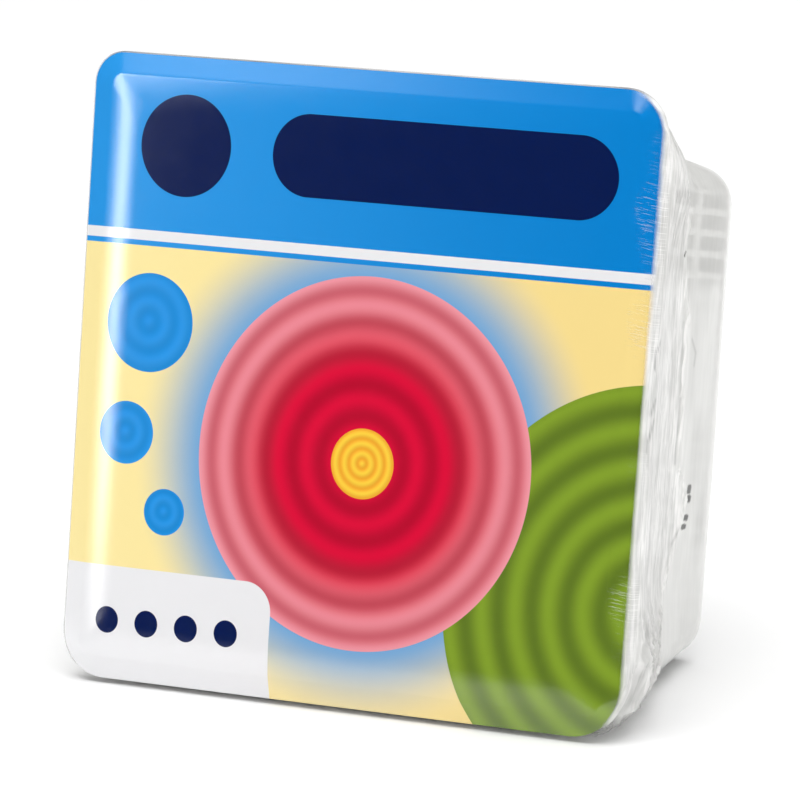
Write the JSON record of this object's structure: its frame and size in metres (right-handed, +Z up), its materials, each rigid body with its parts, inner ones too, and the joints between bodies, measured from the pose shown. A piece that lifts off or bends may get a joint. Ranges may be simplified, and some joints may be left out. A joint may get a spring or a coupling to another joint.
{
  "type": "shrink-wrapped pond basket kit with a printed card",
  "caption": "Square tapered lattice pond basket lying on one side, a printed card folded over its mouth, wrapped all round in clear shrink film.",
  "frame": {"origin": "centre of the bounding box in plan, at the ground that the kit lies on", "axes": "+X to the right along the card's width, +Y from the card back to the basket's base, +Z up; the card faces -Y and leans back by about 12 degrees"},
  "size_m": [0.1922, 0.1326, 0.1892],
  "materials": {
    "basket": "white moulded plastic with a low sheen",
    "card": "printed and coated",
    "film": "clear and glossy, finely wrinkled",
    "bag": "pale, soft and matt"
  },
  "bodies": {
    "root": {"basket": "basket", "filling_bag": "bag", "label_card": "card", "shrink_film": "film"}
  },
  "joints": []
}
